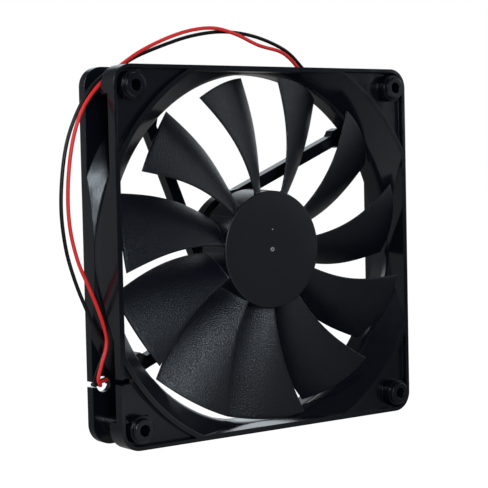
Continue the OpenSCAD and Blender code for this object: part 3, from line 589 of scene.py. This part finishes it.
bronze_bright = (0.37, 0.21, 0.10)
bronze_pore = (0.10, 0.052, 0.022)
bronze = Finish("oiled_bronze", {"Metallic": 0.85})
pores = bronze.ramp(bronze.speckle(0.00018, detail=4.0), (0.42, 0), (0.56, 1))
bronze.feed("Base Color", bronze.blend(pores, bronze_pore, bronze_bright))
bronze.feed("Roughness", 0.30 + 0.25 * bronze.speckle(0.002))
bronze.emboss(pores, depth=0.00003, strength=0.6, edge=0.0001)
bronze.coat(part["sleeve_bearing"])

nylon = plastic("thrust_nylon", (0.74, 0.73, 0.69), (0.66, 0.64, 0.58), roughness=0.34, grain=0.0004)
nylon.coat(part["thrust_plate"])
cap = plastic("cap_black", (0.006, 0.0062, 0.0075), (0.010, 0.0104, 0.012), roughness=0.36, grain=0.0003)
cap.coat(part["bearing_cap"])

felt_dark = (0.30, 0.25, 0.17)
felt_light = (0.60, 0.54, 0.42)
felt = Finish("oil_felt", {"Roughness": 0.95, "Sheen Weight": 0.3})
fibres = felt.speckle(0.0002, detail=6.0)
felt.feed("Base Color", felt.blend(fibres, felt_dark, felt_light))
felt.emboss(fibres, depth=0.00012)
felt.coat(part["oil_washer"])

# ---- Stator ----
# A stack of stamped steel sheets with four poles stands on the brass tube. A nylon insulator
# covers each end of it, and enamelled copper wire is wound in even turns round every pole.

sheet_thickness = 0.0005
steel_grey = (0.30, 0.31, 0.34)
rust_brown = (0.22, 0.15, 0.11)
joint_dark = (0.05, 0.05, 0.06)

sheets = Finish("steel_laminations", {"Metallic": 0.9})
joints = sheets.ramp(stripes(sheets, sheet_thickness, waver=0.3), (0.05, 0), (0.22, 1))
rust = sheets.ramp(sheets.speckle(0.0016, detail=5.0), (0.52, 0), (0.72, 1))
steel = sheets.blend(rust, steel_grey, rust_brown)
sheets.feed("Base Color", sheets.blend(joints, joint_dark, steel))
sheets.feed("Roughness", 0.36 + 0.2 * rust)
sheets.emboss(joints, depth=0.00003, strength=0.7)
sheets.coat(part["stator_core"])

ivory = plastic("ivory_nylon", (0.72, 0.68, 0.56), (0.66, 0.61, 0.48), roughness=0.38, grain=0.0004)
ivory.coat(part["front_insulator"])
ivory.coat(part["back_insulator"])

copper_dark = (0.46, 0.16, 0.050)
copper_light = (0.60, 0.25, 0.085)
enamel = Finish("copper_enamel", {"Metallic": 0.8, "Coat Weight": 0.5, "Coat Roughness": 0.2})
enamel.feed("Base Color", enamel.blend(enamel.speckle(0.0014, detail=3.0), copper_dark, copper_light))
enamel.feed("Roughness", 0.24 + 0.16 * enamel.speckle(0.0006))
enamel.emboss(enamel.speckle(0.0004), depth=0.00001, strength=0.4)

# How far from the axis a coil starts and ends, where its middle lies from front to back, its
# size across, and its wire. Half a size is measured from the pole's middle.
pole_count = 4
coil_near = 0.0083
coil_far = 0.01426
coil_middle = -0.0012
coil_half_width = 0.0048
coil_half_height = 0.00535
coil_corner = 0.0014
bore_corner = 0.0002
winding_depth = 0.0015
magnet_wire = 0.00028
groove_share = 0.35
corner_steps = 6
turn_steps = 6


def rounded_loop(half_width, half_height, radius):
    """Points round a rounded rectangle, each with its outward direction."""
    loop = []
    for quarter, (side, end) in enumerate(((1, 1), (-1, 1), (-1, -1), (1, -1))):
        for step in range(corner_steps + 1):
            angle = math.radians(90 * (quarter + step / corner_steps))
            out = (math.cos(angle), math.sin(angle))
            across = side * (half_width - radius) + radius * out[0]
            high = end * (half_height - radius) + radius * out[1]
            loop.append((across, high, out))
    return loop


def wound_coil(pole_angle):
    """A hollow coil whose outside shows every turn of its wire, as a close helix."""
    mesh = bmesh.new()
    length = coil_far - coil_near
    turns = round(length / magnet_wire)
    last = turns * turn_steps
    place = Matrix.Translation((0, 0, axis_height)) @ Matrix.Rotation(-pole_angle, 4, "Y")
    outside = rounded_loop(coil_half_width, coil_half_height, coil_corner)
    inside = rounded_loop(coil_half_width - winding_depth, coil_half_height - winding_depth, bore_corner)
    ridged = (outside, range(last + 1), groove_share * magnet_wire)
    plain = (inside, (0, last), 0.0)
    walls = []
    for loop, stations, groove in (ridged, plain):
        rings = []
        for station in stations:
            along = station / last
            ring = []
            for k, (across, high, out) in enumerate(loop):
                phase = turns * along + k / len(loop)
                sink = groove * (1 - abs(math.sin(math.pi * phase)))
                point = Vector((coil_near + along * length,
                                coil_middle + high - sink * out[1],
                                across - sink * out[0]))
                ring.append(mesh.verts.new(place @ point))
            rings.append(ring)
        for first, second in zip(rings, rings[1:]):
            bridge(mesh, first, second)
        walls.append((rings[0], rings[-1]))
    for outer, inner in zip(*walls):
        bridge(mesh, outer, inner)
    return mesh


for number in range(pole_count):
    coil_mesh = wound_coil(2 * math.pi * number / pole_count)
    coil = finished(f"coil_winding_{number + 1}", coil_mesh, "housing", smooth_below=50.0)
    enamel.coat(coil)
    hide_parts(f"coil_{number + 1}")

# ---- Circuit board ----
# A round board lies in the base cup under the stator. Its solder mask is black, over copper
# tracks; it carries a Hall sensor, a driver chip and a capacitor, and the coils' three pins.

board_front = 0.0087
board_thickness = 0.001
board_rear = board_front + board_thickness
track_pitch = 0.0026
mask_black = (0.0045, 0.0065, 0.0055)
mask_over_copper = (0.012, 0.020, 0.014)
bare_laminate = (0.16, 0.13, 0.06)

board = Finish("board_mask", {"IOR": 1.5})
from_axis = vector_work(board, "SUBTRACT", board.place, (0, 0, axis_height))
arcs = board.add("ShaderNodeTexWave", {"wave_type": "RINGS", "rings_direction": "Y"},
                 {"Vector": from_axis, "Scale": wave_length / track_pitch, "Distortion": 2.5,
                  "Detail": 0.0, "Detail Scale": 0.4}, "Fac")
laid_copper = board.ramp(board.speckle(0.005, detail=0.0), (0.44, 0), (0.47, 1))
tracks = board.ramp(arcs, (0.46, 0), (0.52, 1)) * laid_copper
flat = facing_front_or_back(board, least=0.5)
mask = board.blend(tracks, mask_black, mask_over_copper)
board.feed("Base Color", board.blend(flat, bare_laminate, mask))
board.feed("Roughness", 0.62 - 0.32 * flat + 0.08 * board.speckle(0.001))
board.emboss(tracks, depth=0.00003, strength=0.5)
board.coat(part["circuit_board"])

tin = metal("tinned_pin", bright=(0.72, 0.71, 0.68), dull=(0.50, 0.49, 0.47), roughness=0.3,
            tool_pitch=0.0002)
tin.coat(part["board_pins"])

# The chip lies turned by half a right angle, with legs on two sides; the sensor's legs are at
# its foot, next to the board.
chip_place = (0.01025, 0.0, 0.05975)
chip_half_width = 0.00202
slant = math.sqrt(0.5)
sensor_leg = 0.0014
epoxy_black = (0.009, 0.009, 0.010)
epoxy_grey = (0.018, 0.018, 0.019)
leg_tin = (0.62, 0.61, 0.58)


def distance_along(finish, direction, origin):
    """How far each point lies from origin along a direction."""
    offset = vector_work(finish, "SUBTRACT", finish.place, origin)
    return vector_work(finish, "DOT_PRODUCT", offset, direction, "Value")


def epoxy_with_legs(finish, legs):
    """Black epoxy with a faint mould texture, and tinned legs where legs is 1."""
    epoxy = finish.blend(finish.speckle(0.0007, detail=4.0), epoxy_black, epoxy_grey)
    finish.feed("Base Color", finish.blend(legs, epoxy, leg_tin))
    finish.feed("Metallic", legs)
    finish.feed("Roughness", 0.55 - 0.25 * legs + 0.1 * finish.speckle(0.0003))
    finish.emboss(finish.speckle(0.00012, detail=3.0), depth=0.00001, strength=0.5, edge=0.00012)


chip = Finish("chip_epoxy", {"IOR": 1.5})
epoxy_with_legs(chip, abs(distance_along(chip, (slant, 0, slant), chip_place)) > chip_half_width)
chip.coat(part["driver_chip"])

sensor = Finish("sensor_epoxy", {"IOR": 1.5})
epoxy_with_legs(sensor, distance_along(sensor, (0, 1, 0), (0, board_front - sensor_leg, 0)) > 0.0)
sensor.coat(part["hall_sensor"])

# The capacitor is an aluminium can in a blue sleeve, and its raised top is bare.
sleeve_height = 0.0032
top_gap = 0.00001
sleeve_blue = (0.022, 0.028, 0.075)
sleeve_lighter = (0.030, 0.038, 0.095)
can_metal = (0.62, 0.62, 0.63)

can = Finish("capacitor_sleeve", {"IOR": 1.5})
bare_top = distance_along(can, (0, 1, 0), (0, board_front - sleeve_height, 0)) < -top_gap
sleeve = can.blend(can.speckle(0.0015), sleeve_blue, sleeve_lighter)
can.feed("Base Color", can.blend(bare_top, sleeve, can_metal))
can.feed("Metallic", bare_top)
can.feed("Roughness", 0.26 + 0.14 * can.speckle(0.0008))
can.emboss(can.speckle(0.0009), depth=0.00001, strength=0.4, edge=0.0002)
can.coat(part["capacitor"])

# ---- Leads and solder ----
# Inside the cable strut the two wires lie one behind the other in its channel. Each ends in a
# joint of solder on the back of the board, beside the joints that hold the coils' pins.

red_lead_route = [
    (0.0044, 0.0098, 0.05027), (0.0044, 0.01045, 0.05027), (0.00311, 0.0111, 0.04973),
    (-0.04971, 0.0111, 0.02764), (-0.05235, 0.0111, 0.02674), (-0.06625, 0.0111, 0.02306),
    (-0.0676, 0.0104, 0.0227), (-0.0676, 0.0096, 0.0227)]
black_lead_route = [
    (0.00583, 0.0098, 0.05087), (0.00583, 0.01125, 0.05087), (0.00454, 0.01265, 0.05033),
    (-0.04971, 0.01265, 0.02764), (-0.05235, 0.01265, 0.02674), (-0.06625, 0.01265, 0.02306),
    (-0.06775, 0.01265, 0.0227), (-0.06915, 0.01125, 0.0227), (-0.06915, 0.0096, 0.0227)]
lead_gap = 0.0012


def cut_corners(points, gap, passes):
    """The same run of straight lines with every corner rounded off, keeping both ends."""
    points = [Vector(point) for point in points]
    path = []
    for here, there in zip(points, points[1:]):
        pieces = max(1, round((there - here).length / gap))
        path += [here.lerp(there, step / pieces) for step in range(pieces)]
    path.append(points[-1])
    for _ in range(passes):
        smoother = [path[0]]
        for here, there in zip(path, path[1:]):
            smoother += [here.lerp(there, 0.25), here.lerp(there, 0.75)]
        path = smoother + [path[-1]]
    return path


red_lead_path = cut_corners(red_lead_route, lead_gap, passes=2)
red_lead = draw_wire("red_lead_insulation", red_lead_path, red_vinyl)
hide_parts("red_lead")
black_lead_path = cut_corners(black_lead_route, lead_gap, passes=2)
black_lead = draw_wire("black_lead_insulation", black_lead_path, black_vinyl)
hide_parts("black_lead")

# The pins stand on a circle, at three of the corners between the poles. Each reaches this far
# sideways and up from the axis.
pin_reach = 0.00664
pin_radius = 0.00035
pin_circle = math.hypot(pin_reach, pin_reach) - pin_radius
pin_angles = (45, 135, 225)
pin_joint_radius = 0.0010
pin_joint_height = 0.0006
lead_joint_radius = 0.0011
lead_joint_height = 0.00055
flank_hollow = 0.6


def add_solder(mesh, x, z, radius, height):
    """A small cone of solder with a hollow flank, standing back from the board."""
    shares = (1.0, 0.75, 0.5, 0.3, 0.12)
    profile = [(radius * share, board_rear + height * (1 - share) ** flank_hollow) for share in shares]
    add_turned(mesh, x, z, profile, small_segments)


solder_mesh = bmesh.new()
for angle in map(math.radians, pin_angles):
    add_solder(solder_mesh, pin_circle * math.cos(angle), axis_height + pin_circle * math.sin(angle),
               pin_joint_radius, pin_joint_height)
for x, _, z in (red_lead_route[0], black_lead_route[0]):
    add_solder(solder_mesh, x, z, lead_joint_radius, lead_joint_height)
solder = finished("solder_joints", solder_mesh, "housing", smooth_below=60.0)
tin.coat(solder)

# ---- Rotor's metal parts ----
# A drawn steel cup in the hub carries a bonded ferrite ring. The ground steel shaft sits in a
# brass bush in the cup's floor, and a thin spring ring under the bearing keeps it in.

plating = metal("yoke_plating", bright=(0.50, 0.51, 0.53), dull=(0.36, 0.36, 0.37), roughness=0.34,
                tool_pitch=0.0004)
plating.coat(part["rotor_yoke"])
ground = metal("ground_shaft", bright=(0.68, 0.69, 0.71), dull=(0.58, 0.59, 0.61), roughness=0.14,
               tool_pitch=0.00006)
ground.coat(part["shaft"])
spring = metal("spring_ring", bright=(0.34, 0.34, 0.36), dull=(0.20, 0.20, 0.22), roughness=0.3,
               tool_pitch=0.0001)
spring.coat(part["retaining_ring"])
brass.coat(part["shaft_bush"])

ferrite_dark = (0.018, 0.016, 0.016)
ferrite_grey = (0.050, 0.045, 0.043)
ferrite = Finish("bonded_ferrite", {"IOR": 1.55})
grains = ferrite.speckle(0.0002, detail=5.0)
ferrite.feed("Base Color", ferrite.blend(grains, ferrite_dark, ferrite_grey))
ferrite.feed("Roughness", 0.5 + 0.25 * ferrite.speckle(0.0008))
ferrite.emboss(grains, depth=0.00003, strength=0.6, edge=0.00015)
ferrite.coat(part["magnet_ring"])

# ---- Connector ----
# A small two-way housing of black nylon closes over the brass crimp contacts on the wires'
# ends. It is tucked between the flanges at the foot of the frame.

connector_rounding = 0.0002
contact_rounding = 0.0001

connector_nylon = plastic("connector_nylon", (0.0085, 0.0085, 0.0095), (0.014, 0.014, 0.015), roughness=0.4,
                          grain=0.0003)
connector_nylon.coat(part["connector"])
contact = metal("contact_metal", bright=(0.66, 0.50, 0.22), dull=(0.48, 0.36, 0.16), roughness=0.26,
                tool_pitch=0.0003)
contact.coat(part["red_terminal"])
contact.coat(part["black_terminal"])
for node, radius in (("connector", connector_rounding), ("red_terminal", contact_rounding),
                     ("black_terminal", contact_rounding)):
    rounded = part[node].modifiers.new("moulded_edges", "BEVEL")
    rounded.width = radius
    rounded.segments = 2
    rounded.limit_method = "ANGLE"

# ---- Floor and light ----
# A white floor runs into a white backdrop. A narrow lamp stands low at the front left, a softer
# one at the right, one hangs overhead and one is behind on the left. Gloss mirrors a dim room
# instead of the white: a bright spot on the floor in front, and a bright patch behind.

floor_half_size = 6.0
floor_mesh = bmesh.new()
bmesh.ops.create_grid(floor_mesh, x_segments=1, y_segments=1, size=floor_half_size)
floor_data = bpy.data.meshes.new("floor")
floor_mesh.to_mesh(floor_data)
floor_mesh.free()
floor = bpy.data.objects.new("floor", floor_data)
scene.collection.objects.link(floor)


def fade(shader, value, span, levels):
    """From the first level to the second as the value crosses the span, and no further."""
    return shader.add("ShaderNodeMapRange", {}, {"Value": value, "From Min": span[0], "From Max": span[1],
                                                 "To Min": levels[0], "To Max": levels[1]})


white = (1, 1, 1, 1)
paper_white = (0.92, 0.92, 0.92, 1)
spot_place = (-0.06, -0.15, 0.0)
seen_strength = 1.1
seen_share = 0.9

# The paper looks white, and gloss shows it dim but for one bright spot in front of the fan.
paper = Finish("floor_white", {"Base Color": paper_white, "Roughness": 0.9, "Specular IOR Level": 0.1})
seen = paper.add("ShaderNodeLightPath", {}, {}, "Is Camera Ray")
mirrored = seen.other("Is Glossy Ray")
seen_through = seen.other("Is Transmission Ray")
from_spot = vector_work(paper, "DISTANCE", paper.place, spot_place, "Value")
spot = fade(paper, from_spot, span=(0.05, 0.18), levels=(0.52, 0.0))
wash = fade(paper, measured(paper, paper.place, "Y"), span=(-0.3, 0.4), levels=(0.04, 0.24))
brightness = seen_strength * (seen + seen_through) + mirrored * (spot + wash)
glow = paper.add("ShaderNodeEmission", {}, {"Color": white, "Strength": brightness})
lit_paper = Value(paper, paper.surface.outputs["BSDF"])
glowing = seen_share * seen + mirrored + seen_through
paper.show(paper.add("ShaderNodeMixShader", {}, {0: glowing, 1: lit_paper, 2: glow}), "Material Output")
paper.coat(floor)


def soft_lamp(name, place, size, watts, tint=(1.0, 1.0, 1.0)):
    """A soft box that hangs at a place and faces the middle of the fan."""
    lamp = bpy.data.objects.new(name, bpy.data.lights.new(name, "AREA"))
    lamp.data.shape = "RECTANGLE"
    lamp.data.size, lamp.data.size_y = size
    lamp.data.energy = watts
    lamp.data.color = tint
    lamp.location = place
    lamp.rotation_mode = "QUATERNION"
    lamp.rotation_quaternion = (Vector(place) - Vector((0, 0, axis_height))).to_track_quat("Z", "Y")
    lamp.visible_camera = False
    scene.collection.objects.link(lamp)


soft_lamp("key_lamp", (-0.64, -1.35, 0.47), size=(0.36, 0.6), watts=12.0, tint=(0.80, 0.91, 1.0))
soft_lamp("fill_lamp", (1.33, -0.74, 0.55), size=(0.9, 0.9), watts=3.3, tint=(0.90, 0.96, 1.0))
soft_lamp("top_lamp", (0.35, 0.65, 1.42), size=(0.8, 0.8), watts=3.5)
soft_lamp("back_lamp", (-1.4, 0.9, 0.95), size=(1.0, 1.0), watts=14.0)

patch_heading = (0.56, 0.79, 0.25)
room_tint = (0.86, 0.94, 1, 1)
even_light = 0.24

# The camera sees a white backdrop. A glossy surface mirrors a dim room instead, darker above
# and towards the front, with one bright patch, and what is left is faint, even light.
room = bpy.data.worlds.new("room")
room.use_nodes = True
scene.world = room
room.node_tree.nodes.remove(room.node_tree.nodes["Background"])
walls = Shader(room.node_tree)
watched = walls.add("ShaderNodeLightPath", {}, {}, "Is Camera Ray")
heading = walls.add("ShaderNodeTexCoord", {}, {}, "Generated")
toward_patch = vector_work(walls, "DOT_PRODUCT", heading, patch_heading, "Value")
patch = fade(walls, toward_patch, span=(0.86, 0.96), levels=(0.0, 1.2))
darker_above = fade(walls, measured(walls, heading, "Z"), span=(0.15, 0.6), levels=(1.0, 0.25))
lighter_behind = fade(walls, measured(walls, heading, "Y"), span=(-0.7, 0.2), levels=(0.14, 0.27))
mirror_light = walls.work("MAXIMUM", patch, darker_above * lighter_behind)
mirrored_room = walls.add("ShaderNodeBackground", {}, {"Color": room_tint, "Strength": mirror_light})
studio = walls.add("ShaderNodeBackground", {}, {"Color": white, "Strength": even_light})
backdrop = walls.add("ShaderNodeBackground", {}, {"Color": white, "Strength": 1.0})
glossy = watched.other("Is Glossy Ray")
unseen = walls.add("ShaderNodeMixShader", {}, {0: glossy, 1: studio, 2: mirrored_room})
looked_at = walls.work("MAXIMUM", watched, watched.other("Is Transmission Ray"))
walls.show(walls.add("ShaderNodeMixShader", {}, {0: looked_at, 1: unseen, 2: backdrop}), "World Output")
